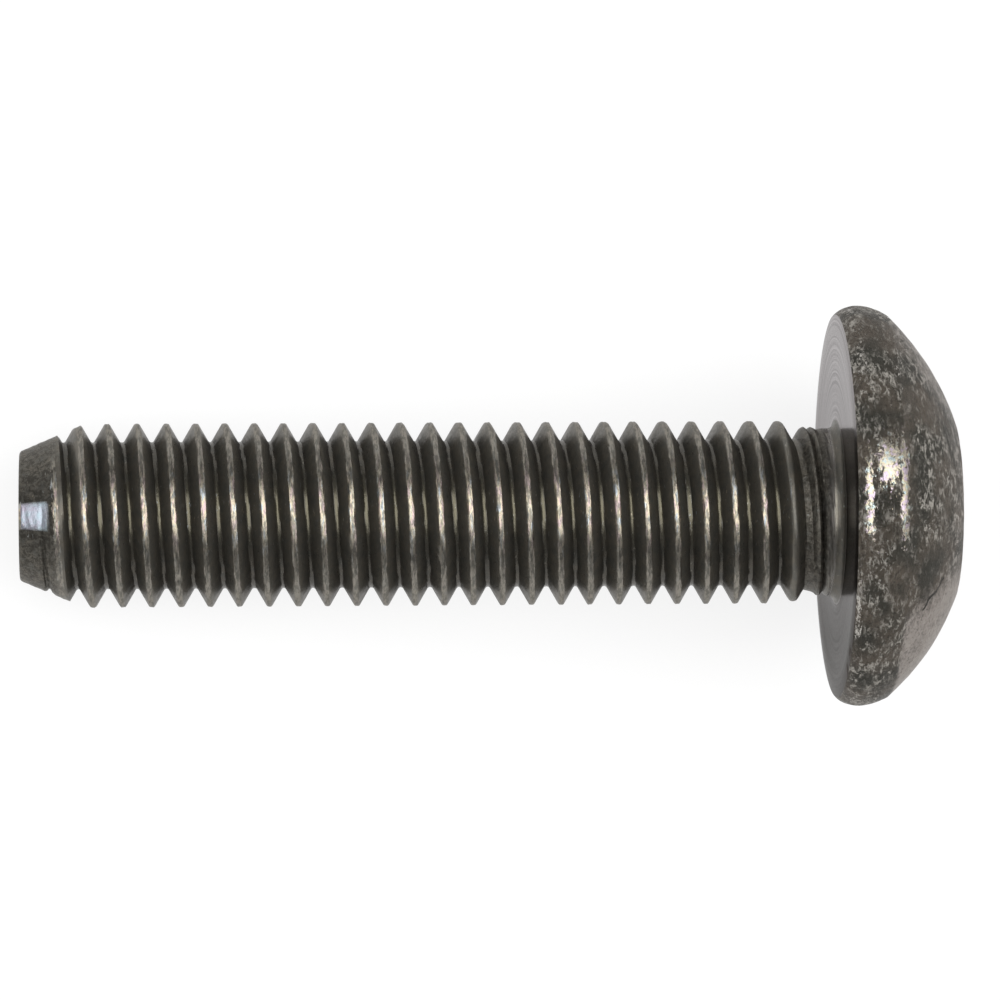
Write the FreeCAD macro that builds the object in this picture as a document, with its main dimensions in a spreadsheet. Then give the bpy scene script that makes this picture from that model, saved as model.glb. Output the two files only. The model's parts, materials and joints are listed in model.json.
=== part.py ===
import FreeCAD, Part
import math
import os
import Sketcher

# A round-head machine screw, M8 with a coarse right-hand rolled thread, 35 mm long under its
# head. It is one forged and rolled piece of steel. All sizes are in millimetres and degrees.
# The screw is drawn along its own axis X, with the bearing face under the head at x = 0, the
# head on the +X side and the point on the -X side. At the end it is laid down as it rests.

SIZES = {
    "thread_diameter": 7.8,
    "pitch": 1.25,
    "flank_angle": 30.0,
    "crest_share": 0.21,
    "root_share": 0.1,
    "shank_length": 35.0,
    "point_diameter": 5.5,
    "point_angle": 23.0,
    "blank_reduction": 0.61,
    "runout_length": 1.25,
    "root_lag": 0.25,
    "neck_length": 0.95,
    "neck_fillet": 0.58,
    "head_diameter": 17.2,
    "head_height": 5.03,
    "rim_step": 0.365,
    "rim_place": 0.84,
    "rim_height": 2.15,
    "rim_crown_radius": 2.45,
    "crown_diameter": 7.8,
    "crown_edge_radius": 0.6,
    "socket_width": 5.0,
    "socket_depth": 2.6,
    "socket_mouth_diameter": 6.2,
    "socket_drill_diameter": 4.6,
    "socket_cone_angle": 60.0,
}

doc = FreeCAD.newDocument("round_head_screw")
sheet = doc.addObject("Spreadsheet::Sheet", "Sizes")
for row, (name, value) in enumerate(SIZES.items(), start=1):
    sheet.set("A%d" % row, name)
    sheet.set("B%d" % row, str(value))
    sheet.setAlias("B%d" % row, name)
doc.recompute()

body = doc.addObject("PartDesign::Body", "screw")
body.Label = "screw"

# places on an edge and edges of the sketch frame, as constraints name them
START, END, CENTRE = range(1, 4)
AXIS, CROSS_AXIS = range(-1, -3, -1)


def size(name):
    """The number in the sheet's cell of that name."""
    return float(sheet.get(name))


def tan(name):
    """The tangent of an angle in the sheet."""
    return math.tan(math.radians(size(name)))


def origin_feature(role):
    """One of the body's own origin planes or axes."""
    for feature in body.Origin.OriginFeatures:
        if feature.Role == role:
            return feature
    raise RuntimeError("the body has no origin feature " + role)


def new_sketch(name, plane):
    """An empty sketch on one of the body's origin planes."""
    sketch = body.newObject("Sketcher::SketchObject", name)
    sketch.AttachmentSupport = [(origin_feature(plane), "")]
    sketch.MapMode = "FlatFace"
    return sketch


def line(x1, y1, x2, y2):
    """A straight edge between two points."""
    return Part.LineSegment(FreeCAD.Vector(x1, y1, 0), FreeCAD.Vector(x2, y2, 0))


def arc(cx, cy, radius, start, end):
    """An arc about a centre, counterclockwise between two angles in degrees."""
    circle = Part.Circle(FreeCAD.Vector(cx, cy, 0), FreeCAD.Vector(0, 0, 1), radius)
    return Part.ArcOfCircle(circle, math.radians(start), math.radians(end))


def constrain(sketch, *rules):
    """Adds constraints, each a kind followed by the edges and places that it ties."""
    for rule in rules:
        sketch.addConstraint(Sketcher.Constraint(*rule))


def dimension(sketch, kind, places, guess, expression):
    """Adds a dimension near its guessed value and binds it to the sheet."""
    index = sketch.addConstraint(Sketcher.Constraint(kind, *places, guess))
    sketch.setExpression("Constraints[%d]" % index, expression)


def polygon(sketch, points):
    """Draws a closed outline of straight edges joined end to start; gives its first edge."""
    first = sketch.GeometryCount
    count = len(points)
    for i, (x, y) in enumerate(points):
        sketch.addGeometry(line(x, y, *points[(i + 1) % count]), False)
    for i in range(count):
        constrain(sketch, ("Coincident", first + i, END, first + (i + 1) % count, START))
    return first


def turned(kind, name, sketch):
    """A revolved feature of the sketch about the screw's axis."""
    feature = body.newObject(kind, name)
    feature.Profile = sketch
    feature.ReferenceAxis = (origin_feature("X_Axis"), [""])
    feature.Angle = 360
    body.Tip = feature
    doc.recompute()
    return feature


# The shank is a turned rod with a flat point and its cone. Towards the head the crests fall
# along a shallow cone that passes through the neck's radius where the neck begins.
thread_r = size("thread_diameter") / 2
point_r = size("point_diameter") / 2
neck_r = thread_r - size("blank_reduction") / 2
point_x = -size("shank_length")
cone_x = point_x + (thread_r - point_r) / tan("point_angle")
neck_x = -size("neck_length")
runout_x = neck_x - size("runout_length")
inner_r = neck_r + neck_x / size("runout_length") * (thread_r - neck_r)

rod_outline = new_sketch("rod_outline", "XY_Plane")
POINT, CONE, SHANK, RUNOUT, BASE, ROD_AXIS = range(6)
polygon(rod_outline, [(point_x, 0), (point_x, point_r), (cone_x, thread_r),
                      (runout_x, thread_r), (0, inner_r), (0, 0)])
constrain(rod_outline, ("Vertical", POINT), ("Horizontal", SHANK), ("Vertical", BASE),
          ("PointOnObject", POINT, START, AXIS), ("Coincident", BASE, END, AXIS, START))
dimension(rod_outline, "DistanceX", (POINT, START, AXIS, START), -point_x, "Sizes.shank_length")
dimension(rod_outline, "DistanceY", (POINT,), point_r, "Sizes.point_diameter / 2")
dimension(rod_outline, "Angle", (CONE,), math.atan(tan("point_angle")),
          "Sizes.point_angle * 1 deg")
dimension(rod_outline, "DistanceY", (AXIS, START, SHANK, END), thread_r,
          "Sizes.thread_diameter / 2")
dimension(rod_outline, "DistanceX", (SHANK, END, AXIS, START), -runout_x,
          "Sizes.neck_length + Sizes.runout_length")
dimension(rod_outline, "DistanceY", (AXIS, START, RUNOUT, END), inner_r,
          "(Sizes.thread_diameter - Sizes.blank_reduction"
          " * (1 + Sizes.neck_length / Sizes.runout_length)) / 2")
rod = turned("PartDesign::Revolution", "rod", rod_outline)

# The thread is one helical groove between flat crests. It enters from the head's side of the
# bearing plane, half a pitch away, and runs past the point.
pitch = size("pitch")
slope = tan("flank_angle")
crest = size("crest_share") * pitch
root = size("root_share") * pitch
root_r = thread_r - (pitch - crest - root) / 2 / slope
overcut_r = thread_r + crest / 4 / slope
mouth_reach = pitch / 2 - crest / 4

groove_outline = new_sketch("groove_outline", "XY_Plane")
LEFT_FLANK, MOUTH, RIGHT_FLANK, ROOT = range(4)
polygon(groove_outline, [(pitch / 2 - root / 2, root_r), (pitch / 2 - mouth_reach, overcut_r),
                         (pitch / 2 + mouth_reach, overcut_r), (pitch / 2 + root / 2, root_r)])
constrain(groove_outline, ("Horizontal", MOUTH), ("Horizontal", ROOT))
dimension(groove_outline, "DistanceX", (AXIS, START, LEFT_FLANK, START), (pitch - root) / 2,
          "Sizes.pitch * (1 - Sizes.root_share) / 2")
dimension(groove_outline, "DistanceX", (LEFT_FLANK, START, RIGHT_FLANK, END), root,
          "Sizes.root_share * Sizes.pitch")
dimension(groove_outline, "DistanceX", (LEFT_FLANK, END, RIGHT_FLANK, START), 2 * mouth_reach,
          "Sizes.pitch * (1 - Sizes.crest_share / 2)")
dimension(groove_outline, "DistanceX", (LEFT_FLANK, END, LEFT_FLANK, START),
          mouth_reach - root / 2,
          "Sizes.pitch * (0.5 - Sizes.crest_share / 4 - Sizes.root_share / 2)")
dimension(groove_outline, "DistanceY", (AXIS, START, LEFT_FLANK, START), root_r,
          "Sizes.thread_diameter / 2 - Sizes.pitch * (1 - Sizes.crest_share - Sizes.root_share)"
          " / 2 / tan(Sizes.flank_angle * 1 deg)")
dimension(groove_outline, "DistanceY", (AXIS, START, LEFT_FLANK, END), overcut_r,
          "Sizes.thread_diameter / 2 + Sizes.pitch * Sizes.crest_share"
          " / 4 / tan(Sizes.flank_angle * 1 deg)")
doc.recompute()
thread = body.newObject("PartDesign::SubtractiveHelix", "thread")
thread.Profile = groove_outline
thread.ReferenceAxis = (origin_feature("X_Axis"), [""])
thread.Mode = "pitch-height-angle"
thread.LeftHanded = False
thread.Reversed = True
thread.Refine = False
thread.setExpression("Pitch", "Sizes.pitch")
thread.setExpression("Height", "Sizes.shank_length + Sizes.pitch")
body.Tip = thread
doc.recompute()

# The head is upset on the shank in one outline: a core that rises out of the thread's root and
# ends it, the plain neck, the fillet, the bearing face, the crowned rim and the dome, which is
# a sphere about a point of the axis, with a flat crown.
fillet_r = size("neck_fillet")
head_r = size("head_diameter") / 2
face_r = head_r - size("rim_step")
crown_r = size("rim_crown_radius")
flat_r = size("crown_diameter") / 2
edge_r = size("crown_edge_radius")
core_end_x = neck_x + size("root_lag")
core_x = core_end_x - size("runout_length")
core_r = root_r - (neck_r - root_r) / 4
rim_x = size("rim_place")
rim_end_x = size("rim_height")
top_x = size("head_height")
corner_r = (rim_x ** 2 + size("rim_step") ** 2) / (2 * size("rim_step"))
rim_end_r = head_r - crown_r + math.sqrt(crown_r ** 2 - (rim_end_x - rim_x) ** 2)
dome_x = (top_x ** 2 + flat_r ** 2 - rim_end_x ** 2 - rim_end_r ** 2) / (2 * (top_x - rim_end_x))
dome_r = math.hypot(rim_end_x - dome_x, rim_end_r)
corner_angle = math.degrees(math.atan2(face_r - head_r + corner_r, -rim_x))
crown_angle = math.degrees(math.acos((rim_end_x - rim_x) / crown_r))
ridge_angle = math.degrees(math.atan2(rim_end_r, rim_end_x - dome_x))
dome_angle = math.degrees(math.atan2(flat_r, top_x - dome_x))

head_outline = new_sketch("head_outline", "XY_Plane")
head_outline.addGeometry([
    line(core_x, 0, core_x, core_r),
    line(core_x, core_r, core_end_x, neck_r),
    line(core_end_x, neck_r, -fillet_r, neck_r),
    arc(-fillet_r, neck_r + fillet_r, fillet_r, 270, 360),
    line(0, neck_r + fillet_r, 0, face_r),
    arc(rim_x, head_r - corner_r, corner_r, 90, corner_angle),
    arc(rim_x, head_r - crown_r, crown_r, crown_angle, 90),
    arc(dome_x, 0, dome_r, dome_angle, ridge_angle),
    arc(top_x - edge_r, flat_r, edge_r, 0, dome_angle),
    line(top_x, flat_r, top_x, 0),
    line(top_x, 0, core_x, 0),
], False)
CORE_END, CORE, NECK, FILLET, FACE, CORNER, CROWN, DOME, EDGE, TOP, HEAD_AXIS = range(11)
constrain(
    head_outline,
    ("Coincident", CORE_END, END, CORE, START),
    ("Coincident", CORE, END, NECK, START),
    ("Tangent", NECK, END, FILLET, START),
    ("Tangent", FILLET, END, FACE, START),
    ("Coincident", FACE, END, CORNER, END),
    ("Tangent", CORNER, START, CROWN, END),
    ("Coincident", CROWN, START, DOME, END),
    ("Tangent", DOME, START, EDGE, END),
    ("Tangent", EDGE, START, TOP, START),
    ("Coincident", TOP, END, HEAD_AXIS, START),
    ("Coincident", HEAD_AXIS, END, CORE_END, START),
    ("Vertical", CORE_END),
    ("Horizontal", NECK),
    ("Vertical", FACE),
    ("PointOnObject", FACE, START, CROSS_AXIS),
    ("Vertical", TOP),
    ("PointOnObject", CORE_END, START, AXIS),
    ("PointOnObject", TOP, END, AXIS),
    ("PointOnObject", DOME, CENTRE, AXIS),
    ("Vertical", CORNER, CENTRE, CORNER, START),
)
dimension(head_outline, "DistanceX", (CORE, START, CORE, END), size("runout_length"),
          "Sizes.runout_length")
dimension(head_outline, "DistanceY", (CORE_END,), core_r,
          "Sizes.thread_diameter / 2 + Sizes.blank_reduction / 8"
          " - Sizes.pitch * (1 - Sizes.crest_share - Sizes.root_share)"
          " * 5 / 8 / tan(Sizes.flank_angle * 1 deg)")
dimension(head_outline, "DistanceX", (NECK, START, AXIS, START), -core_end_x,
          "Sizes.neck_length - Sizes.root_lag")
dimension(head_outline, "DistanceY", (AXIS, START, NECK, START), neck_r,
          "(Sizes.thread_diameter - Sizes.blank_reduction) / 2")
dimension(head_outline, "Radius", (FILLET,), fillet_r, "Sizes.neck_fillet")
dimension(head_outline, "DistanceY", (AXIS, START, FACE, END), face_r,
          "Sizes.head_diameter / 2 - Sizes.rim_step")
dimension(head_outline, "DistanceX", (AXIS, START, CORNER, START), rim_x, "Sizes.rim_place")
dimension(head_outline, "DistanceY", (AXIS, START, CORNER, START), head_r,
          "Sizes.head_diameter / 2")
dimension(head_outline, "Radius", (CROWN,), crown_r, "Sizes.rim_crown_radius")
dimension(head_outline, "DistanceX", (AXIS, START, CROWN, START), rim_end_x, "Sizes.rim_height")
dimension(head_outline, "DistanceX", (AXIS, START, TOP, END), top_x, "Sizes.head_height")
dimension(head_outline, "DistanceY", (AXIS, START, TOP, START), flat_r,
          "Sizes.crown_diameter / 2")
dimension(head_outline, "Radius", (EDGE,), edge_r, "Sizes.crown_edge_radius")
head = turned("PartDesign::Revolution", "head", head_outline)

# The key socket in the crown: a countersunk mouth and the point that the pilot drill left, both
# turned, and between them the six flats.
mouth_r = size("socket_mouth_diameter") / 2
drill_r = size("socket_drill_diameter") / 2
floor_x = top_x - size("socket_depth")
cone_slope = tan("socket_cone_angle")

cones = new_sketch("socket_cones_outline", "XY_Plane")
mouth = polygon(cones, [(top_x, 0), (top_x, mouth_r), (top_x - mouth_r / cone_slope, 0)])
drill = polygon(cones, [(floor_x, 0), (floor_x, drill_r), (floor_x - drill_r / cone_slope, 0)])
for edge, place, radius in ((mouth, "Sizes.head_height", "Sizes.socket_mouth_diameter / 2"),
                            (drill, "Sizes.head_height - Sizes.socket_depth",
                             "Sizes.socket_drill_diameter / 2")):
    constrain(cones, ("Vertical", edge), ("PointOnObject", edge, START, AXIS),
              ("PointOnObject", edge + 1, END, AXIS))
    dimension(cones, "DistanceX", (AXIS, START, edge, START), 1.0, place)
    dimension(cones, "DistanceY", (edge,), 1.0, radius)
    dimension(cones, "DistanceX", (edge + 1, END, edge, START), 1.0,
              radius + " / tan(Sizes.socket_cone_angle * 1 deg)")
socket_cones = turned("PartDesign::Groove", "socket_cones", cones)

hexagon = new_sketch("socket_hexagon_outline", "YZ_Plane")
hexagon.setExpression("AttachmentOffset.Base.z", "Sizes.head_height")
key_r = size("socket_width") / 2 / math.cos(math.pi / 6)
first_flat = polygon(hexagon, [(key_r * math.cos(math.pi / 3 * i + math.pi / 6),
                                key_r * math.sin(math.pi / 3 * i + math.pi / 6))
                               for i in range(6)])
guide = hexagon.addGeometry(Part.Circle(FreeCAD.Vector(0, 0, 0), FreeCAD.Vector(0, 0, 1),
                                        key_r), True)
constrain(hexagon, ("Coincident", guide, CENTRE, AXIS, START), ("Vertical", first_flat + 2))
for i in range(6):
    constrain(hexagon, ("PointOnObject", first_flat + i, START, guide))
for i in range(1, 6):
    constrain(hexagon, ("Equal", first_flat, first_flat + i))
dimension(hexagon, "Radius", (guide,), key_r, "Sizes.socket_width / 2 / cos(30 deg)")
socket = body.newObject("PartDesign::Pocket", "socket")
socket.Profile = hexagon
socket.setExpression("Length", "Sizes.socket_depth")
body.Tip = socket
doc.recompute()

# At rest the screw lies on the rim of its head and on the last full crest before the point.
# The floor's line through that crest is tangent to the round under the rim.
crest_x = cone_x + (0.75 * pitch - crest / 2 - cone_x) % pitch
across = head_r - corner_r - thread_r
along = rim_x - crest_x
rest_angle = math.degrees(math.atan2(across, along)
                          + math.asin(corner_r / math.hypot(across, along)))
body.Placement = FreeCAD.Placement(FreeCAD.Vector(0, 0, 0),
                                   FreeCAD.Rotation(FreeCAD.Vector(0, 1, 0), -rest_angle))
doc.recompute()
box = body.Shape.optimalBoundingBox(False, False)
body.Placement.Base = FreeCAD.Vector(-box.Center.x, -box.Center.y, -box.ZMin)
doc.recompute()

for item in doc.Objects:
    if "Invalid" in item.State or "Error" in item.State:
        raise RuntimeError("%s did not compute" % item.Label)
shape = body.Shape
if shape.isNull() or not shape.isValid() or len(shape.Solids) != 1:
    raise RuntimeError("the screw is not one valid solid")
if not rod.Shape.Volume > thread.Shape.Volume:
    raise RuntimeError("the thread cut nothing")
if not head.Shape.Volume > socket_cones.Shape.Volume > socket.Shape.Volume:
    raise RuntimeError("the socket cut nothing")

os.makedirs("parts", exist_ok=True)
shape.exportStep("parts/screw.step")
print("rest angle %.3f degrees, volume %.1f mm3" % (rest_angle, shape.Volume))
print("placement", body.Placement.Base, "box", body.Shape.optimalBoundingBox(False, False))
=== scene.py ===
import json
import math

import bmesh
import bpy
import numpy as np
from mathutils import Matrix, Vector


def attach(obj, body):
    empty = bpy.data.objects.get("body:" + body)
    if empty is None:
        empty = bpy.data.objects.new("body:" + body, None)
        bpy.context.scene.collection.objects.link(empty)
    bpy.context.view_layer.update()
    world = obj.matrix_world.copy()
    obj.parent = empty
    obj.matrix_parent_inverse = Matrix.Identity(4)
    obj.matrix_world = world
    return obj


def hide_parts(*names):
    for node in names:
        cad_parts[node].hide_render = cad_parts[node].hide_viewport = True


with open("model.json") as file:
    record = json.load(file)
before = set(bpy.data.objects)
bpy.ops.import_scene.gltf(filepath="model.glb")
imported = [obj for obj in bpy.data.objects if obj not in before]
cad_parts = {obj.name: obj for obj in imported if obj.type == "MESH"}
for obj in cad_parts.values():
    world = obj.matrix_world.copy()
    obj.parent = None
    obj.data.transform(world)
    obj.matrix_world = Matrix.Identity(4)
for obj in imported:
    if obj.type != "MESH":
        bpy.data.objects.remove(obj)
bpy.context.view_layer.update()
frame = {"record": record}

# The camera looks down on the screw as it lies, 25 cm above it. It stands almost square to the screw's own axis, a
# little towards the tip, so that the bearing face under the head just shows. The screw's own frame comes from the
# key socket's mount: x runs along the axis from the bearing face towards the head, in millimetres.
MM = 0.001
HEAD_HEIGHT = 5.03
mounts = {mount["name"]: mount for mount in frame["record"]["mounts"]}
towards_head = Vector(mounts["key_socket"]["axis"])
across = Vector((0, 1, 0))
upwards = towards_head.cross(across)
bearing = Vector(mounts["key_socket"]["pos_m"]) - HEAD_HEIGHT * MM * towards_head
rest_angle = math.asin(towards_head.z)

FOCAL_PIXELS, FRAME_PIXELS, SENSOR = 5900, 1000, 36.0
DISTANCE = 253.0
AIMED_AT = -14.464
ASIDE = 0.585
LEAN = math.radians(3.5)
ROLL = math.radians(0.30)

back = upwards * math.cos(LEAN) - towards_head * math.sin(LEAN)
level = towards_head * math.cos(LEAN) + upwards * math.sin(LEAN)
up = across * math.cos(ROLL) + level * math.sin(ROLL)
place = bearing + MM * (AIMED_AT * towards_head + DISTANCE * back + ASIDE * across)
lens = bpy.data.cameras.new("camera")
lens.sensor_width = SENSOR
lens.lens = FOCAL_PIXELS * SENSOR / FRAME_PIXELS
lens.clip_start = 0.01
camera = bpy.data.objects.new("camera", lens)
camera.matrix_world = Matrix.Translation(place) @ Matrix((up.cross(back), up, back)).transposed().to_4x4()
bpy.context.scene.collection.objects.link(camera)
bpy.context.scene.camera = camera

# The screw: one piece of steel, headed cold, its thread rolled between dies, its bearing face turned clean, and the
# whole blackened. Sizes are in millimetres. x is the distance from the bearing face, phi the angle round the axis
# from the side (+Y) towards the camera.
PITCH = 1.25
THREAD_RADIUS = 3.92
CREST_WIDTH = 0.19
FLANK = math.radians(30)
ROOT_RADIUS, ROOT_ROUND = 3.13, 0.108
SOFT_CORNER, SOFT_CORNER_AT_NECK = 0.012, 0.062
POINT_X, POINT_RADIUS, POINT_ANGLE, POINT_ROUND = -35.0, 2.75, math.radians(23), 0.2
NECK_X, NECK_RADIUS, RUNOUT = -0.95, 3.595, 1.25
LAST_ROOT_X, LAST_SEAM_X, SEAM_DEPTH, SEAM_WIDTH = -0.68, -0.40, 0.20, 0.09
LAP_LENGTH, LAP_DEPTH, LAP_WIDTH, LAP_WANDER = 1.6, 0.05, 0.035, 0.05
# Nicks in the crests and widened spots of them: turns from the bearing face, share of a turn, and depth or width.
NICKS = ((-20.75, 0.006, 0.06), (-22.63, 0.008, 0.07), (-15.82, 0.006, 0.06))
WIDENED = ((-16.70, 0.018, 0.045), (-13.68, 0.020, 0.05), (-9.71, 0.015, 0.035), (-5.30, 0.02, 0.03))
FILLET = 0.40
FACE_RADIUS, FACE_DISH = 8.235, 0.05
HEAD_RADIUS, RIM_X, RIM_END_X, CROWN_ROUND = 8.6, 0.84, 2.15, 2.45
FLAT_RADIUS, FLAT_ROUND = 3.9, 0.6
RIM_ASIDE, DOME_ASIDE, RIDGE_LEAN = 0.25, 0.09, 0.18
KEY_WIDTH, KEY_DEPTH, MOUTH_RADIUS, DRILL_RADIUS = 5.0, 2.6, 3.1, 2.3
SOCKET_SLOPE = math.tan(math.radians(60))
COARSE_LUMP, FINE_LUMP = 0.022, 0.018

# The grid: columns round the axis, and the rows of each turn by their distance from the middle of the crest.
SHANK_COLUMNS = 138
HEAD_COLUMNS = 2 * SHANK_COLUMNS
CREST_OFFSETS = np.array([0.625, 0.58, 0.53, 0.45, 0.35, 0.25, 0.165, 0.11, 0.06])
THREAD, FACE, FORGED = range(3)


def uneven(rows, columns, repeat, seed):
    """Smooth random heights from -1 to 1: random values at the whole numbers of both parameters, blended between
    them by 3t^2 - 2t^3. They repeat after that many cells of the second parameter."""
    table = np.random.default_rng(seed).uniform(-1, 1, (256, repeat))
    a, b = np.floor(rows).astype(int), np.floor(columns).astype(int)
    s, t = rows - a, columns - b
    s, t = s * s * (3 - 2 * s), t * t * (3 - 2 * t)
    low = table[a % 256, b % repeat] * (1 - t) + table[a % 256, (b + 1) % repeat] * t
    high = table[(a + 1) % 256, b % repeat] * (1 - t) + table[(a + 1) % 256, (b + 1) % repeat] * t
    return low * (1 - s) + high * s


def bell(distance, width):
    """A smooth bump of height 1: e to the power of minus the squared share of its width."""
    return np.exp(-(distance / width) ** 2)


def ramp(value, start, end):
    """Goes evenly from 0 at start to 1 at end, whichever of them is the smaller, and is level outside them."""
    return np.clip((value - start) / (end - start), 0, 1)


def arc(cx, cr, radius, start, end, count):
    """Points (x, r) on a circle about (cx, cr), between two angles in degrees from the axis."""
    angle = np.radians(np.linspace(start, end, count))
    return np.stack([cx + radius * np.cos(angle), cr + radius * np.sin(angle)], 1)


def blank_radius(x, offset):
    """Height that the crests reach: the point's cone, then the thread's radius, then near the neck a slow fall where
    the dies didn't fill them, with a seam left open along the crest's middle."""
    cone = POINT_RADIUS + (x - POINT_X) * math.tan(POINT_ANGLE)
    fallen = ramp(x - offset, NECK_X - RUNOUT, NECK_X)
    seam = ramp(fallen, 0.35, 0.65) * ramp(x - offset, LAST_SEAM_X, LAST_SEAM_X - 0.3)
    fall = THREAD_RADIUS + (NECK_RADIUS - THREAD_RADIUS) * fallen - SEAM_DEPTH * seam * bell(offset, SEAM_WIDTH)
    return np.minimum(np.minimum(cone, fall), THREAD_RADIUS)


def thread_radius(x, offset, turns):
    """Radius at a distance offset from the middle of the crest: the smaller of the blank and of two straight flanks
    that meet in a round root, with the corner between them softened, and never less than the core that rises into
    the neck. turns counts along the helix. The crest's edges wander and its top is uneven by about 0.02 mm."""
    jag = 0.018 * uneven(turns * 0 + 3, turns * 24, 2048, 1) + 0.012 * uneven(turns * 0, turns * 60, 4096, 2)
    reach = np.abs(offset) + jag * np.sign(offset) - sum(wide * bell(turns - at, span) for at, span, wide in WIDENED)
    flank = THREAD_RADIUS + (CREST_WIDTH / 2 - reach) / math.tan(FLANK)
    inward = PITCH / 2 - np.abs(offset)
    root = ROOT_RADIUS + ROOT_ROUND - np.sqrt(np.maximum(ROOT_ROUND ** 2 - inward ** 2, 0))
    groove = np.where(inward < ROOT_ROUND * math.cos(FLANK), root, flank)
    root_x = x - offset + np.where(offset < 0, -PITCH / 2, PITCH / 2)
    root_x = 0.3 * root_x + 0.7 * x
    core = ROOT_RADIUS + (NECK_RADIUS - ROOT_RADIUS) * ramp(root_x, LAST_ROOT_X - RUNOUT, LAST_ROOT_X)
    blank = blank_radius(x, offset) + 0.012 * uneven(offset * 14, turns * 45, 2048, 3)
    blank = blank - sum(deep * bell(turns - at, span) for at, span, deep in NICKS)
    soft = SOFT_CORNER + (SOFT_CORNER_AT_NECK - SOFT_CORNER) * ramp(x, -3, -2)
    least = np.minimum(groove, blank)
    rounded = least - soft * np.log(np.exp((least - groove) / soft) + np.exp((least - blank) / soft))
    lap = ramp(x, POINT_X + LAP_LENGTH, POINT_X + LAP_LENGTH - 0.2) * ramp(turns % 1, 0.26, 0.31)
    slit = LAP_WANDER * np.abs(uneven(turns * 0 + 5, turns * 36, 2048, 4))
    return np.maximum(rounded, np.minimum(core, blank)) - LAP_DEPTH * lap * bell(inward - slit, LAP_WIDTH)


# The shank's grid: the flat end and its rounded edge, then the rows of every turn, cut off at the point and the neck.
tip_angle = 90 - math.degrees(POINT_ANGLE)
tip_x = POINT_X + POINT_ROUND
tip_r = POINT_RADIUS - POINT_ROUND * math.tan(math.radians(tip_angle / 2))
tip_round = arc(tip_x, tip_r, POINT_ROUND, 180, 180 - tip_angle, 6)
tip_profile = np.concatenate([[[POINT_X, 0.0], [POINT_X, 1.0], [POINT_X, 1.9]], tip_round])
start_x = tip_round[-1, 0]
end_x = -FILLET - 0.02

turn_count = math.ceil(-POINT_X / PITCH) + 1
offsets = np.concatenate([-CREST_OFFSETS, [0], CREST_OFFSETS[:0:-1]])
turn = np.repeat(np.arange(-turn_count, 0), len(offsets))[:, None] + np.zeros(SHANK_COLUMNS + 1)
offset = np.tile(offsets, turn_count)[:, None] + np.zeros(SHANK_COLUMNS + 1)
shank_phi = np.linspace(0, 2 * math.pi, SHANK_COLUMNS + 1)
turns = turn + shank_phi / (2 * math.pi)
shank_x = np.clip(turns * PITCH + offset, start_x, end_x)
shank_r = thread_radius(shank_x, shank_x - turns * PITCH, turns)
ring_x = np.full((1, SHANK_COLUMNS + 1), end_x)
shank_x = np.concatenate([np.repeat(tip_profile[:, :1], SHANK_COLUMNS + 1, 1), shank_x, ring_x])
shank_r = np.concatenate([np.repeat(tip_profile[:, 1:], SHANK_COLUMNS + 1, 1), shank_r, 0 * ring_x + NECK_RADIUS])
shank_r[shank_x == start_x] = tip_round[-1, 1]
shank_r[shank_x == end_x] = NECK_RADIUS

# The head's profile from the neck to the axis: fillet, dished bearing face, rounded corner, crowned rim, dome, its
# flat top's edge, and the socket's chamfered mouth, walls and drilled bottom. The walls are a hexagon.
corner_round = (RIM_X ** 2 + (HEAD_RADIUS - FACE_RADIUS) ** 2) / (2 * (HEAD_RADIUS - FACE_RADIUS))
corner_angle = math.degrees(math.atan2(FACE_RADIUS - HEAD_RADIUS + corner_round, -RIM_X))
crown_angle = math.degrees(math.acos((RIM_END_X - RIM_X) / CROWN_ROUND))
rim_end_r = HEAD_RADIUS - CROWN_ROUND + CROWN_ROUND * math.sin(math.radians(crown_angle))
dome_x = (HEAD_HEIGHT ** 2 + FLAT_RADIUS ** 2 - RIM_END_X ** 2 - rim_end_r ** 2) / (2 * (HEAD_HEIGHT - RIM_END_X))
dome_round = math.hypot(RIM_END_X - dome_x, rim_end_r)
ridge_angle = math.degrees(math.atan2(rim_end_r, RIM_END_X - dome_x))
edge_x = HEAD_HEIGHT - FLAT_ROUND
edge_r = math.sqrt((dome_round - FLAT_ROUND) ** 2 - (edge_x - dome_x) ** 2)
dome_angle = math.degrees(math.atan2(edge_r, edge_x - dome_x))
face_r = np.linspace(NECK_RADIUS + FILLET, FACE_RADIUS, 9)[1:-1]
face_x = -FACE_DISH * ((face_r - face_r[0]) / (FACE_RADIUS - face_r[0])) ** 2
fillet = arc(-FILLET, NECK_RADIUS + FILLET, FILLET, 270, 360, 8)
corner = arc(RIM_X, HEAD_RADIUS - corner_round, corner_round, corner_angle, 90, 10)
crown = arc(RIM_X, HEAD_RADIUS - CROWN_ROUND, CROWN_ROUND, 90, crown_angle, 10)[1:]
dome = arc(dome_x, 0, dome_round, ridge_angle, dome_angle, 28)[1:]
edge = arc(edge_x, edge_r, FLAT_ROUND, dome_angle, 0, 9)[1:]
mouth_depth = np.array([0, 0.05, 0.1, 0.14, 0.18, 0.22, 0.27, 0.32, 0.37, 0.6, 1.2, 1.9, 2.45])
mouth = np.stack([HEAD_HEIGHT - mouth_depth, MOUTH_RADIUS - mouth_depth * SOCKET_SLOPE], 1)
drill_x = HEAD_HEIGHT - KEY_DEPTH
drill = np.array([[drill_x, DRILL_RADIUS], [drill_x - DRILL_RADIUS / 2 / SOCKET_SLOPE, DRILL_RADIUS / 2],
                  [drill_x - DRILL_RADIUS / SOCKET_SLOPE, 0]])
outside = np.concatenate([fillet, np.stack([face_x, face_r], 1), corner, crown, dome, edge])
profile = np.concatenate([outside, mouth, [[drill_x, 0]], drill])

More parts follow.
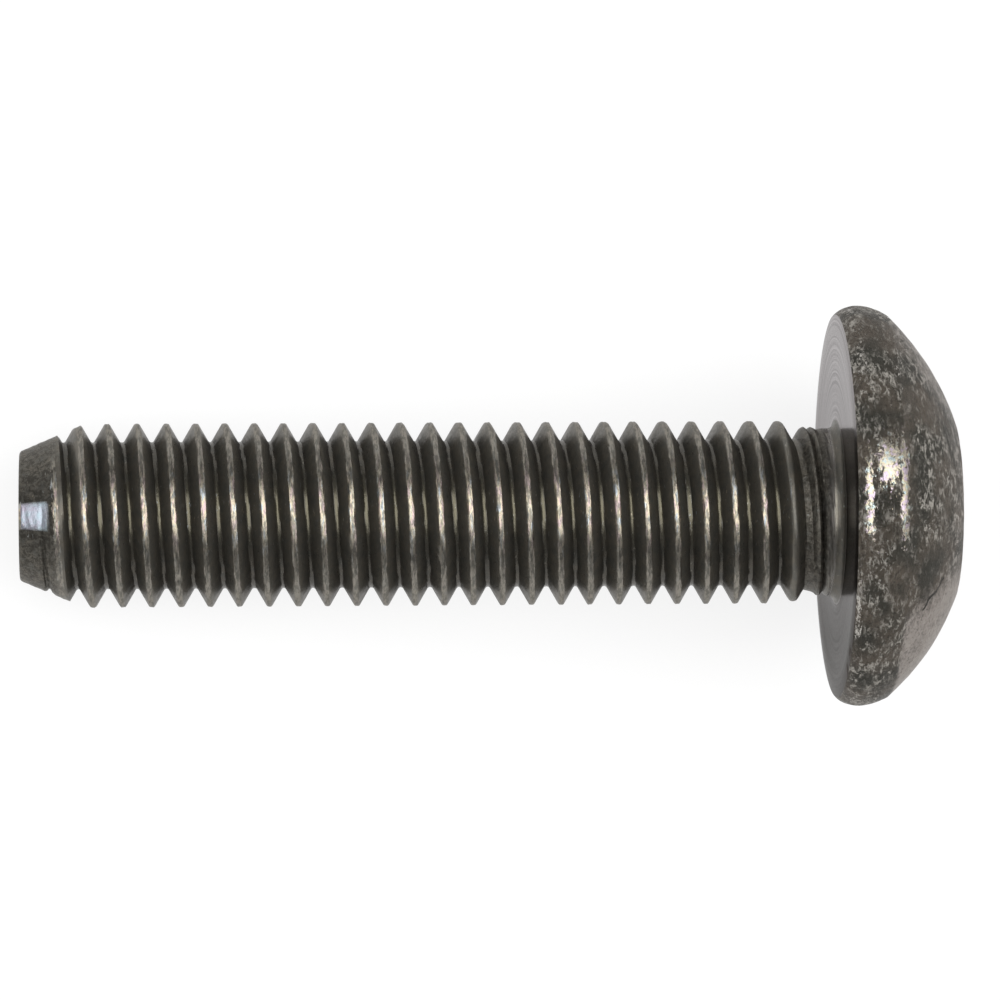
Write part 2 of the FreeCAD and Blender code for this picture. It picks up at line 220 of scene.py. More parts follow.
head_phi = np.linspace(0, 2 * math.pi, HEAD_COLUMNS + 1)
head_x = np.repeat(profile[:, :1], HEAD_COLUMNS + 1, 1)
head_r = np.repeat(profile[:, 1:], HEAD_COLUMNS + 1, 1)
sixth = math.pi / 3
hexagon = KEY_WIDTH / 2 / np.cos((head_phi + sixth / 2) % sixth - sixth / 2)
walls = slice(len(outside), len(outside) + len(mouth) + 1)
head_r[walls] = np.maximum(head_r[walls], hexagon)
head_r[len(outside)] = MOUTH_RADIUS


def placed(x, r, phi, aside):
    """Points of the row's frame, in metres, from the distance along the axis, the radius, the angle round it and
    how far the ring's middle lies beside it."""
    sideways, outwards = r * np.cos(phi) + aside, r * np.sin(phi)
    return np.array(bearing) + MM * (x[..., None] * np.array(towards_head) + sideways[..., None] * np.array(across)
                                     + outwards[..., None] * np.array(upwards))


def strip(first, rows, columns):
    """Corners of the quads between neighbouring rows and columns of a grid whose vertices start at first."""
    corner = first + np.arange(rows - 1)[:, None] * columns + np.arange(columns - 1)
    return np.stack([corner, corner + 1, corner + columns + 1, corner + columns], -1).reshape(-1, 4)


# The head sits a little to one side of the shank, its ridge leans, and its forged skin is uneven.
first_forged = len(fillet) + len(face_x)
face_rows = slice(len(fillet) - 1, first_forged)
ring_aside = np.interp(profile[:, 1], [NECK_RADIUS + FILLET, FACE_RADIUS], [0, RIM_ASIDE])
past_ridge = np.arange(len(profile)) >= first_forged + len(corner)
ring_aside[past_ridge] = np.interp(profile[past_ridge, 1], [FLAT_RADIUS, rim_end_r], [DOME_ASIDE, RIM_ASIDE])
skin = np.zeros(len(profile))
skin[first_forged + 1:len(outside) - 1] = 1
cells = np.cumsum(np.hypot(*np.diff(profile, axis=0, prepend=profile[:1]).T))
lumps = COARSE_LUMP * uneven(cells[:, None] / 0.9, head_phi / (2 * math.pi) * 54, 54, 5)
lumps += FINE_LUMP * uneven(cells[:, None] / 0.4 + 7, head_phi / (2 * math.pi) * 120, 120, 6)
head_r += skin[:, None] * lumps
head_x -= RIDGE_LEAN * bell(profile[:, :1] - RIM_END_X, 0.9) * np.sin(head_phi)

# The head has twice the shank's columns, so a ring of triangles joins the two grids.
shank_points = placed(shank_x, shank_r, shank_phi, 0.0)
head_points = placed(head_x, head_r, head_phi, ring_aside[:, None])
round_neck = np.full(SHANK_COLUMNS + 1, NECK_RADIUS)
half_ring = placed(0 * round_neck - FILLET - 0.01, round_neck, shank_phi, 0.0)
points = np.concatenate([shank_points.reshape(-1, 3), half_ring, head_points.reshape(-1, 3)])
shank_rows = len(shank_x)
shank_faces = strip(0, shank_rows + 1, SHANK_COLUMNS + 1)
head_start = (shank_rows + 1) * (SHANK_COLUMNS + 1)
head_faces = strip(head_start, len(profile), HEAD_COLUMNS + 1)
low = shank_rows * (SHANK_COLUMNS + 1) + np.arange(SHANK_COLUMNS)
high = head_start + 2 * np.arange(SHANK_COLUMNS)
joint_faces = np.concatenate([np.stack([low, low + 1, high + 1], 1), np.stack([low, high + 1, high], 1),
                              np.stack([low + 1, high + 2, high + 1], 1)])

mesh = bpy.data.meshes.new("round_head_screw")
mesh.from_pydata(points.tolist(), [], shank_faces.tolist() + joint_faces.tolist() + head_faces.tolist())
head_kind = np.full(len(profile) - 1, FORGED)
head_kind[:len(fillet) - 1] = THREAD
head_kind[face_rows] = FACE
kinds = np.concatenate([np.full(len(shank_faces) + len(joint_faces), THREAD), np.repeat(head_kind, HEAD_COLUMNS)])
mesh.polygons.foreach_set("material_index", kinds.astype(np.int32))

# What the vertices tell the materials, as shares from 0 to 1: where the steel is rubbed bare, and where bare spots are
# put only in the band under the soft box as painted highlights; that band, where colours are painted paler as
# painted highlights; and where the oxide is darkened as painted shade. The middle of the side that faces the camera is
# at 90 degrees.
CREST_BARE, CREST_COVERED = 0.098, 0.158
ROOT_SHOWS, ROOT_FULL = 0.535, 0.58
FLANK_SHOWS, FLANK_FULL = 0.15, 0.53
CONE_LENGTH, POINT_HIGHLIGHT_LENGTH, FIRST_CREST_X, LAST_CREST_X = 1.6, 1.25, POINT_X + 1.75, -1.9
# Bare spots on the rim: share, distance from the bearing face, half-width, middle in degrees, where they end, and
# where they are full, in degrees from it. The first two, and the coloured patch between them, which fades evenly all
# round, lie in the band under the soft box: painted highlights on rubbed steel.
BARE_LIT_SPOTS = ((1.0, 0.45, 0.2, 88, 14.3, 7.8), (1.0, RIM_END_X - 0.02, 0.2, 86, 21, 11),
              (0.66, 0.12, 0.16, 120, 14, 10))
PATCH_SHARE, PATCH_X, PATCH_WIDTH, PATCH_DEGREES, PATCH_SPREAD = 1.2, 1.4, 0.65, 77.5, 7.5
# The parts of the dome that the die left smooth, painted paler as a sheen near the dome's outline: how far their edges
# lie to the side at the ridge, and their slopes.
LOW_SMOOTH_SIDE, LOW_SMOOTH_SLOPE, HIGH_SMOOTH_SIDE, HIGH_SMOOTH_SLOPE = -4.6, 0.83, 6.3, 1.2

rows_x = np.concatenate([shank_x, shank_x[-1:]])
off_crest = np.zeros(rows_x.shape)
off_crest[len(tip_profile):-2] = np.abs(shank_x[len(tip_profile):-1] - turns * PITCH)
shank_degrees = np.degrees(shank_phi)
past_flat_end = rows_x > POINT_X + 0.02
shank_worn_and_lit = ramp(off_crest, CREST_COVERED, CREST_BARE) * ramp(rows_x, -2.2, -2.7)
shank_worn_and_lit *= ramp(rows_x, POINT_X + 1.3, POINT_X + 1.6)
shank_worn_and_lit[:len(tip_profile)] = 0.0
# The flat end's rounded edge is rubbed bare only in the band under the soft box: a painted highlight on wear.
shank_worn_and_lit[3:len(tip_profile) - 1] = ramp(np.abs(shank_degrees - 90), 15, 10)
# The band across the side under the soft box, where bare steel is painted paler and tinted: painted highlights.
shank_lit_band = bell(shank_degrees - 86, 20) + 0 * rows_x
# Roots, and the neck's last ring, which the lit band paints a paler straw: a painted highlight.
shank_root_highlight = ramp(off_crest, ROOT_SHOWS, ROOT_FULL) * (rows_x > POINT_X + 2) * (rows_x < -2.4)
shank_root_highlight = np.maximum(shank_root_highlight, rows_x >= end_x)
shank_turned = 0.45 * (rows_x >= end_x) + 0.25 * bell(rows_x + 0.55, 0.1)
# A patch of the cone in the band under the soft box, painted paler rose and blue: a painted highlight.
shank_point_highlight = ramp(np.abs(shank_degrees - 90), 11, 8.8) * past_flat_end
shank_point_highlight = shank_point_highlight * ramp(rows_x, POINT_X + POINT_HIGHLIGHT_LENGTH, POINT_X + POINT_HIGHLIGHT_LENGTH - 0.1)
# Flanks, darkened towards the roots of the grooves: painted shade.
shank_flank_shade = ramp(off_crest, FLANK_SHOWS, FLANK_FULL) * (rows_x > FIRST_CREST_X) * (rows_x < LAST_CREST_X)
# The cone outside its patch and the neck, darkened on the side under the soft box: painted shade.
shank_painted_shade = past_flat_end * (rows_x < POINT_X + CONE_LENGTH) * (1 - shank_point_highlight)
shank_painted_shade = np.maximum(shank_painted_shade, 0.8 * (rows_x > -1.0) * (rows_x < end_x))
shank_painted_shade = shank_painted_shade * bell(shank_degrees - 88, 30)
shank_raw = ramp(rows_x, FIRST_CREST_X, FIRST_CREST_X - 0.3)
shank_raw += ramp(rows_x, LAST_CREST_X, LAST_CREST_X + 0.3) * (rows_x < -0.6)

profile_x = profile[:, :1]
degrees = np.degrees(head_phi)
towards_camera = np.sin(head_phi)
none = np.zeros(head_r.shape)
spots = [share * bell(profile_x - at, wide) * ramp(np.abs(degrees - middle), ends, full)
         for share, at, wide, middle, ends, full in BARE_LIT_SPOTS]
# The coloured patch in the band under the soft box: a painted highlight.
patch = PATCH_SHARE * bell(profile_x - PATCH_X, PATCH_WIDTH) * bell(degrees - PATCH_DEGREES, PATCH_SPREAD)
here_and_there = np.clip(0.6 * uneven(head_phi * 0, head_phi / (2 * math.pi) * 31, 31, 8), 0, 1)
here_and_there = here_and_there * np.maximum(bell(profile_x - 0.45, 0.2), bell(profile_x - RIM_END_X, 0.17))
head_worn_and_lit = np.maximum.reduce([*spots, patch, here_and_there])
head_worn_and_lit[:first_forged] = 0
head_worn_and_lit[len(outside) - 1:] = 0
# The same band on the head, under the soft box: painted highlights on the bare rim.
head_lit_band = bell(degrees - 86, 22) + none
# The fillet's first row carries the neck's painted straw highlight.
head_root_highlight = none.copy()
head_root_highlight[0] = 1
head_turned = none.copy()
head_turned[0] = 0.45
head_turned[len(fillet) - 1:first_forged] = 1
# The fillet, darkened on the side towards the camera where it mirrors the dark shank: painted shade.
head_painted_shade = 0.45 * (profile_x < 0) * (1 - head_root_highlight) * ramp(towards_camera, 0.1, 0.35)
beside = head_r * np.cos(head_phi)
# Smoother, paler parts near the dome's outline on the side towards the camera: partly calmer skin, partly a painted
# sheen.
low_edge = LOW_SMOOTH_SLOPE * (head_x - 2.3) + LOW_SMOOTH_SIDE - beside
high_edge = HIGH_SMOOTH_SLOPE * (head_x - 2.3) - HIGH_SMOOTH_SIDE + beside
low_part = ramp(low_edge, -0.8, 0.8) * ramp(towards_camera, -0.75, 0.02)
high_part = 0.5 * ramp(high_edge, -0.8, 0.8)
head_smooth_and_sheen = np.maximum.reduce([low_part, high_part, 0.35 * ramp(head_x, 3.9, 4.7)])
zones = uneven(head_x / 1.7, head_phi / (2 * math.pi) * 11, 11, 9)
speckle = uneven(head_x / 0.7 + 3, head_phi / (2 * math.pi) * 38, 38, 10)
head_smooth_and_sheen = head_smooth_and_sheen + (0.3 * zones + 0.55 * speckle) * (1.2 - towards_camera) / 2
head_smooth_and_sheen = np.maximum(head_smooth_and_sheen, np.clip(1.5 * zones + 0.6 * speckle, 0, 0.8) * ramp(towards_camera, 0, -0.25))
head_smooth_and_sheen *= ramp(head_x, RIM_END_X - 0.1, RIM_END_X + 0.1)

for name, shank_share, head_share in (("worn_and_lit", shank_worn_and_lit, head_worn_and_lit), ("lit_band", shank_lit_band, head_lit_band),
                                      ("root", shank_root_highlight, head_root_highlight), ("turned", shank_turned, head_turned),
                                      ("raw", shank_raw, none), ("point", shank_point_highlight, none),
                                      ("flank", shank_flank_shade, none), ("painted_shade", shank_painted_shade, head_painted_shade),
                                      ("smooth", 0 * rows_x, head_smooth_and_sheen)):
    values = mesh.attributes.new(name, "FLOAT", "POINT")
    values.data.foreach_set("value", np.concatenate([shank_share.ravel(), head_share.ravel()]).astype(np.float32))

shape = bmesh.new()
shape.from_mesh(mesh)
bmesh.ops.remove_doubles(shape, verts=shape.verts, dist=0.0005 * MM)
bmesh.ops.dissolve_degenerate(shape, edges=shape.edges, dist=0.0002 * MM)
bmesh.ops.recalc_face_normals(shape, faces=shape.faces)
shape.to_mesh(mesh)
shape.free()
mesh.polygons.foreach_set("use_smooth", np.ones(len(mesh.polygons), bool))
mesh.set_sharp_from_angle(angle=math.radians(35))
screw = bpy.data.objects.new("round_head_screw", mesh)
bpy.context.scene.collection.objects.link(screw)


def linear(code):
    """A colour written as an sRGB hex code, as linear light with full opacity."""
    parts = [int(code[i:i + 2], 16) / 255 for i in (1, 3, 5)]
    return [c / 12.92 if c <= 0.04045 else ((c + 0.055) / 1.055) ** 2.4 for c in parts] + [1.0]


def node(tree, kind, inputs=None, **fields):
    """Adds a node with its fields; each input is a value, or a node whose first output it takes."""
    made = tree.nodes.new(kind)
    for field, value in fields.items():
        setattr(made, field, value)
    for socket, value in (inputs or {}).items():
        if isinstance(value, bpy.types.Node):
            value = value.outputs[0]
        if isinstance(value, bpy.types.NodeSocket):
            tree.links.new(value, made.inputs[socket])
        else:
            made.inputs[socket].default_value = value
    return made


def new_material(name):
    """A material of that name with only its output, and its tree."""
    material = bpy.data.materials.new(name)
    material.use_nodes = True
    material.node_tree.nodes.clear()
    return material, material.node_tree


def own_coordinates(tree, stretch=(1, 1, 1)):
    """Millimetres in the screw's own frame, from the bearing face along the axis, stretched for a drawn-out grain."""
    seen = node(tree, "ShaderNodeTexCoord").outputs["Object"]
    turned = node(tree, "ShaderNodeMapping", {"Vector": seen, "Location": bearing, "Scale": (MM, MM, MM),
                                              "Rotation": (0, -rest_angle, 0)}, vector_type="TEXTURE")
    return node(tree, "ShaderNodeMapping", {"Vector": turned, "Scale": stretch})


# The colour inputs and output of a Mix node. A Map Range node takes its value as input 0, then the range that it
# reads, 1 and 2, and the range that it gives, 3 and 4.
MIX_FIRST, MIX_SECOND, MIX_COLOUR = 6, 7, 2

# Rolled thread: black oxide on steel that the dies left smooth along the helix. It is rubbed off the crests, which
# are a paler, scraped grey with ragged edges and grime; in the band under the soft box they are painted paler and
# tinted straw, rose and blue, a painted highlight. It is pitted on the cone and by the neck. Painted shade darkens it
# towards the roots of the grooves, and on the cone and the neck where the soft box's light falls. In that band the
# roots and the neck's last ring are painted a paler straw, and one patch of the cone a paler rose and blue: painted
# highlights.
OXIDE_DARK, OXIDE_WARM, RAW_GREY, WORN_GREY = "#5c5b56", "#6a655c", "#45423c", "#88847c"
FACE_GREY = "#8d8a88"
# Colours of the painted highlights on the bare crests, in the band under the soft box.
STRAW, ROSE, BLUE = "#bfb497", "#bba3a5", "#a7b2bd"
# The roots' straw and the cone patch's rose and blue are painted highlights, in the band under the soft box.
ROOT_HIGHLIGHT_STRAW, POINT_ROSE, POINT_BLUE = "#7f7a67", "#94909c", "#92a3ab"
GRAZING_TINT = (0.62, 0.61, 0.6, 1)
# Shares of the oxide's colour left by painted shade: on the flanks towards the roots, and on the cone, neck and fillet.
FLANK_SHADE_LEFT, PAINTED_SHADE_LEFT = 0.55, 0.3
# Sizes of the patterns in millimetres. Scrapes and grime are drawn coarser than real ones, so that they show.
SCRAPE, GRIME, PIT, BAND, CLOUD, POINT_BAND = 1 / 14, 1 / 10, 1 / 5, 1 / 7, 1 / 2.2, 1 / 1.1
rolled, tree = new_material("black_oxide_steel_rolled")
plain = own_coordinates(tree)
drawn = own_coordinates(tree, (1, 0.22, 0.22))
worn_and_lit_share = node(tree, "ShaderNodeAttribute", attribute_name="worn_and_lit").outputs["Fac"]
lit_band = node(tree, "ShaderNodeAttribute", attribute_name="lit_band").outputs["Fac"]
cleaned = node(tree, "ShaderNodeAttribute", attribute_name="turned").outputs["Fac"]
root_highlight = node(tree, "ShaderNodeAttribute", attribute_name="root").outputs["Fac"]
raw = node(tree, "ShaderNodeAttribute", attribute_name="raw").outputs["Fac"]
point_highlight = node(tree, "ShaderNodeAttribute", attribute_name="point").outputs["Fac"]
flank_shade = node(tree, "ShaderNodeAttribute", attribute_name="flank").outputs["Fac"]
painted_shade = node(tree, "ShaderNodeAttribute", attribute_name="painted_shade").outputs["Fac"]
scrapes = node(tree, "ShaderNodeTexNoise", {"Vector": drawn, "Scale": 1 / SCRAPE, "Detail": 4.0, "Roughness": 0.65})
ragged = node(tree, "ShaderNodeMath", {0: scrapes, 1: 3.2, 2: -1.6}, operation="MULTIPLY_ADD")
mask = node(tree, "ShaderNodeMath", {0: worn_and_lit_share, 1: ragged}, operation="ADD")
scraped = node(tree, "ShaderNodeMapRange", {0: mask, 1: 0.4, 2: 0.7}, interpolation_type="SMOOTHSTEP")
clouds = node(tree, "ShaderNodeTexNoise", {"Vector": plain, "Scale": 1 / CLOUD, "Detail": 5.0, "Roughness": 0.65})
patches = node(tree, "ShaderNodeMapRange", {0: clouds, 1: 0.35, 2: 0.65})
oxide = node(tree, "ShaderNodeMix", {0: patches, MIX_FIRST: linear(OXIDE_DARK), MIX_SECOND: linear(OXIDE_WARM)},
             data_type="RGBA")
bands = node(tree, "ShaderNodeTexNoise", {"Vector": drawn, "Scale": 1 / BAND, "Detail": 3.0})
early = node(tree, "ShaderNodeMapRange", {0: bands, 1: 0.38, 2: 0.52})
late = node(tree, "ShaderNodeMapRange", {0: bands, 1: 0.52, 2: 0.66})
highlight_tint = node(tree, "ShaderNodeMix", {0: early, MIX_FIRST: linear(ROSE), MIX_SECOND: linear(STRAW)}, data_type="RGBA")
highlight_tint = node(tree, "ShaderNodeMix", {0: late, MIX_FIRST: highlight_tint.outputs[MIX_COLOUR], MIX_SECOND: linear(BLUE)},
            data_type="RGBA")
# Painted highlight: in the band under the soft box the bare crests turn paler straw, rose and blue.
share = node(tree, "ShaderNodeMath", {0: lit_band, 1: 0.75, 2: 0.05}, operation="MULTIPLY_ADD")
bare = node(tree, "ShaderNodeMix", {0: share, MIX_FIRST: linear(WORN_GREY), MIX_SECOND: highlight_tint.outputs[MIX_COLOUR]},
            data_type="RGBA")
# Painted highlight: in the band under the soft box the roots and the neck's last ring turn a paler straw.
share = node(tree, "ShaderNodeMath", {0: lit_band, 1: root_highlight}, operation="MULTIPLY")
oxide = node(tree, "ShaderNodeMix", {0: share, MIX_FIRST: oxide.outputs[MIX_COLOUR], MIX_SECOND: linear(ROOT_HIGHLIGHT_STRAW)},
             data_type="RGBA")
pits = node(tree, "ShaderNodeTexNoise", {"Vector": plain, "Scale": 1 / PIT, "Detail": 5.0, "Roughness": 0.7,
                                         "Distortion": 0.8})
pale = node(tree, "ShaderNodeMapRange", {0: pits, 1: 0.44, 2: 0.56})
share = node(tree, "ShaderNodeMath", {0: raw, 1: pale}, operation="MULTIPLY")
oxide = node(tree, "ShaderNodeMix", {0: share, MIX_FIRST: oxide.outputs[MIX_COLOUR], MIX_SECOND: linear(RAW_GREY)},
             data_type="RGBA")
# Painted shade: the flanks darken towards the roots of the grooves.
darker = node(tree, "ShaderNodeMapRange", {0: flank_shade, 3: 1.0, 4: FLANK_SHADE_LEFT})
oxide = node(tree, "ShaderNodeVectorMath", {0: oxide.outputs[MIX_COLOUR], "Scale": darker}, operation="SCALE")
# Painted shade on the cone, the neck and the fillet, where the oxide is darkened.
darker = node(tree, "ShaderNodeMapRange", {0: painted_shade, 3: 1.0, 4: PAINTED_SHADE_LEFT})
oxide = node(tree, "ShaderNodeVectorMath", {0: oxide, "Scale": darker}, operation="SCALE")
# Painted highlight: the cone's patch under the soft box in paler rose and blue.
point_bands = node(tree, "ShaderNodeTexNoise", {"Vector": plain, "Scale": 1 / POINT_BAND, "Detail": 7.0,
                                                "Roughness": 0.75})
point_bands = node(tree, "ShaderNodeMapRange", {0: point_bands, 1: 0.40, 2: 0.60})
point_highlight_tint = node(tree, "ShaderNodeMix", {0: point_bands, MIX_FIRST: linear(POINT_ROSE),
                                         MIX_SECOND: linear(POINT_BLUE)}, data_type="RGBA")
oxide = node(tree, "ShaderNodeMix", {0: point_highlight, MIX_FIRST: oxide, MIX_SECOND: point_highlight_tint.outputs[MIX_COLOUR]},
             data_type="RGBA")
colour = node(tree, "ShaderNodeMix", {0: scraped, MIX_FIRST: oxide.outputs[MIX_COLOUR],
                                      MIX_SECOND: bare.outputs[MIX_COLOUR]}, data_type="RGBA")
grime = node(tree, "ShaderNodeTexNoise", {"Vector": drawn, "Scale": 1 / GRIME, "Detail": 5.0, "Roughness": 0.75})
grime = node(tree, "ShaderNodeMapRange", {0: grime, 1: 0.47, 2: 0.54, 4: 0.75})
grime = node(tree, "ShaderNodeMath", {0: grime, 1: scraped}, operation="MULTIPLY")
colour = node(tree, "ShaderNodeMix", {0: grime, MIX_FIRST: colour.outputs[MIX_COLOUR],
                                      MIX_SECOND: linear(OXIDE_DARK)}, data_type="RGBA")
colour = node(tree, "ShaderNodeMix", {0: cleaned, MIX_FIRST: colour.outputs[MIX_COLOUR],
                                      MIX_SECOND: linear(FACE_GREY)}, data_type="RGBA")
metal = node(tree, "ShaderNodeMapRange", {0: scraped, 3: 0.7, 4: 1.0})
gloss = node(tree, "ShaderNodeMapRange", {0: scrapes, 1: 0.3, 2: 0.7, 3: 0.26, 4: 0.42})
gloss = node(tree, "ShaderNodeMath", {0: point_highlight, 1: -0.22, 2: gloss}, operation="MULTIPLY_ADD")
gloss = node(tree, "ShaderNodeMath", {0: root_highlight, 1: -0.12, 2: gloss}, operation="MULTIPLY_ADD")
pitted = node(tree, "ShaderNodeMath", {0: pits, 1: raw}, operation="MULTIPLY")
height = node(tree, "ShaderNodeMath", {0: pitted, 1: 3.2, 2: scrapes}, operation="MULTIPLY_ADD")
strength = node(tree, "ShaderNodeMapRange", {0: point_highlight, 3: 0.8, 4: 0.2})
relief = node(tree, "ShaderNodeBump", {"Height": height, "Strength": strength, "Distance": 0.02 * MM})
steel = node(tree, "ShaderNodeBsdfPrincipled", {"Base Color": colour.outputs[MIX_COLOUR], "Metallic": metal,
                                                "Specular Tint": GRAZING_TINT, "Roughness": gloss, "Normal": relief})
node(tree, "ShaderNodeOutputMaterial", {"Surface": steel})

# Turned bearing face: the tool cut it after heading, so it is the smoothest and palest surface, with fine rings, which
# are drawn coarser than the real ones so that they show. It mirrors less at a grazing angle towards the bottom of the
# picture (-Y) than towards the top (+Y): a painted shade.
SHADED_FACE_TINT, LIT_FACE_TINT = (0.2, 0.195, 0.19, 1), (0.58, 0.56, 0.565, 1)
RING = 1 / 6
turned, tree = new_material("black_oxide_steel_turned")
plain = own_coordinates(tree)
radial = node(tree, "ShaderNodeVectorMath", {0: plain, 1: (0, 1, 1)}, operation="MULTIPLY")
radius = node(tree, "ShaderNodeVectorMath", {0: radial}, operation="LENGTH").outputs["Value"]
rings = node(tree, "ShaderNodeTexNoise", {"W": radius, "Scale": 1 / RING, "Detail": 5.0, "Roughness": 0.75},
             noise_dimensions="1D")
relief = node(tree, "ShaderNodeBump", {"Height": rings, "Strength": 0.5, "Distance": 0.006 * MM})
beside = node(tree, "ShaderNodeSeparateXYZ", {0: plain}).outputs["Y"]
# Painted shade: the face mirrors less towards the bottom of the picture (-Y).
shade = node(tree, "ShaderNodeMapRange", {0: beside, 1: -5.5, 2: 3.5})
tone = node(tree, "ShaderNodeMix", {0: shade, MIX_FIRST: SHADED_FACE_TINT, MIX_SECOND: LIT_FACE_TINT},
            data_type="RGBA")
ringed = node(tree, "ShaderNodeMapRange", {0: rings, 1: 0.3, 2: 0.7, 3: 0.68, 4: 1.32})
tone = node(tree, "ShaderNodeVectorMath", {0: tone.outputs[MIX_COLOUR], "Scale": ringed}, operation="SCALE")
steel = node(tree, "ShaderNodeBsdfPrincipled", {"Base Color": linear(FACE_GREY), "Metallic": 1.0,
                                                "Specular Tint": tone, "Roughness": 0.16, "Normal": relief})
node(tree, "ShaderNodeOutputMaterial", {"Surface": steel})

# Forged head: the skin of the heading die under black oxide, pitted, flaked and scuffed, smoother and paler on parts of
# the dome, partly a painted sheen, with a short crease in it, and rubbed bare along the rim's two edges, where in the
# band under the soft box it is painted paler and tinted straw, rose and blue: painted highlights.
FORGED_DARK, FORGED_WARM, FLAKE, SMOOTH_AND_SHEEN, BARE, HOLLOW = "#3d3c37", "#5a534b", "#aaa69e", "#a39b95", "#aeaaa4", "#2b2a26"
# Colours of the painted highlights on the bare rim, in the band under the soft box.
RIM_STRAW, RIM_ROSE, RIM_BLUE = "#b0a582", "#a996ac", "#9bb0b4"
# The crease's middle, turn, half-length and half-width, and how far it wanders, in millimetres.
CREASE_MIDDLE, CREASE_TURN = (3.43, -3.45, 0), math.radians(57)
CREASE_HALF_LENGTH, CREASE_HALF_WIDTH, CREASE_WANDER = 0.85, 0.04, 0.7
# Sizes of the patterns in millimetres: pits and flakes of the skin, small holes, highlight tint, tones and calmer
# parts.
SKIN_PIT, FLAKE_SIZE, HOLE, RIM_BAND, TONE, CALM_PART = 1 / 6.5, 1 / 4.4, 1 / 7, 1 / 3.2, 1 / 0.6, 1 / 0.75
forged, tree = new_material("black_oxide_steel_forged")
plain = own_coordinates(tree)
drawn = own_coordinates(tree, (1, 0.5, 0.5))
worn_and_lit_share = node(tree, "ShaderNodeAttribute", attribute_name="worn_and_lit").outputs["Fac"]
lit_band = node(tree, "ShaderNodeAttribute", attribute_name="lit_band").outputs["Fac"]
smooth = node(tree, "ShaderNodeAttribute", attribute_name="smooth").outputs["Fac"]
scale_skin = node(tree, "ShaderNodeTexNoise", {"Vector": drawn, "Scale": 1 / SKIN_PIT, "Detail": 6.0,
                                               "Roughness": 0.8, "Distortion": 0.3})
specks = node(tree, "ShaderNodeTexNoise", {"Vector": drawn, "Scale": 1 / FLAKE_SIZE, "Detail": 8.0,
                                           "Roughness": 0.78, "Distortion": 0.5})
edge_noise = node(tree, "ShaderNodeMath", {0: specks, 1: 2.4, 2: -1.2}, operation="MULTIPLY_ADD")
smooth = node(tree, "ShaderNodeMath", {0: smooth, 1: edge_noise}, operation="ADD")
smooth = node(tree, "ShaderNodeMapRange", {0: smooth, 1: 0.15, 2: 1.0, 4: 0.85})
clouds = node(tree, "ShaderNodeTexNoise", {"Vector": plain, "Scale": 1 / TONE, "Detail": 3.0})
patches = node(tree, "ShaderNodeMapRange", {0: clouds, 1: 0.35, 2: 0.65}, interpolation_type="SMOOTHSTEP")
oxide = node(tree, "ShaderNodeMix", {0: patches, MIX_FIRST: linear(FORGED_DARK), MIX_SECOND: linear(FORGED_WARM)},
             data_type="RGBA")
flakes = node(tree, "ShaderNodeMapRange", {0: specks, 1: 0.49, 2: 0.60}, interpolation_type="SMOOTHSTEP")
calm = node(tree, "ShaderNodeTexNoise", {"Vector": drawn, "Scale": 1 / CALM_PART, "Detail": 4.0, "Roughness": 0.65})
calm = node(tree, "ShaderNodeMapRange", {0: calm, 1: 0.42, 2: 0.58, 3: 0.1, 4: 1.15})
flakes = node(tree, "ShaderNodeMath", {0: flakes, 1: calm}, operation="MULTIPLY")
oxide = node(tree, "ShaderNodeMix", {0: flakes, MIX_FIRST: oxide.outputs[MIX_COLOUR], MIX_SECOND: linear(FLAKE)},
             data_type="RGBA")
# Paler where the dome is smoother: partly calmer skin, partly a painted sheen near its outline.
oxide = node(tree, "ShaderNodeMix", {0: smooth, MIX_FIRST: oxide.outputs[MIX_COLOUR], MIX_SECOND: linear(SMOOTH_AND_SHEEN)},
             data_type="RGBA")
holes = node(tree, "ShaderNodeTexNoise", {"Vector": plain, "Scale": 1 / HOLE, "Detail": 4.0, "Roughness": 0.7})
holes = node(tree, "ShaderNodeMapRange", {0: holes, 1: 0.54, 2: 0.62, 4: 0.6})
along_crease = node(tree, "ShaderNodeMapping", {"Vector": plain, "Location": CREASE_MIDDLE,
                                                "Rotation": (0, 0, CREASE_TURN)}, vector_type="TEXTURE")
crossing = node(tree, "ShaderNodeSeparateXYZ", {0: along_crease}).outputs
aside = node(tree, "ShaderNodeMath", {0: clouds, 1: CREASE_WANDER, 2: crossing["Y"]}, operation="MULTIPLY_ADD")
aside = node(tree, "ShaderNodeMath", {0: aside, 1: CREASE_WANDER / 2, 2: CREASE_HALF_WIDTH}, operation="COMPARE")
ended = node(tree, "ShaderNodeMath", {0: crossing["X"], 1: 0.0, 2: CREASE_HALF_LENGTH}, operation="COMPARE")
on_top = node(tree, "ShaderNodeMath", {0: crossing["Z"], 1: 0.0}, operation="GREATER_THAN")
crease = node(tree, "ShaderNodeMath", {0: aside, 1: ended}, operation="MULTIPLY")
crease = node(tree, "ShaderNodeMath", {0: crease, 1: on_top}, operation="MULTIPLY")
oxide = node(tree, "ShaderNodeMix", {0: holes, MIX_FIRST: oxide.outputs[MIX_COLOUR], MIX_SECOND: linear(HOLLOW)},
             data_type="RGBA")
oxide = node(tree, "ShaderNodeMix", {0: crease, MIX_FIRST: oxide.outputs[MIX_COLOUR], MIX_SECOND: linear(HOLLOW)},
             data_type="RGBA")
ragged = node(tree, "ShaderNodeMath", {0: scale_skin, 1: 4.4, 2: -2.2}, operation="MULTIPLY_ADD")
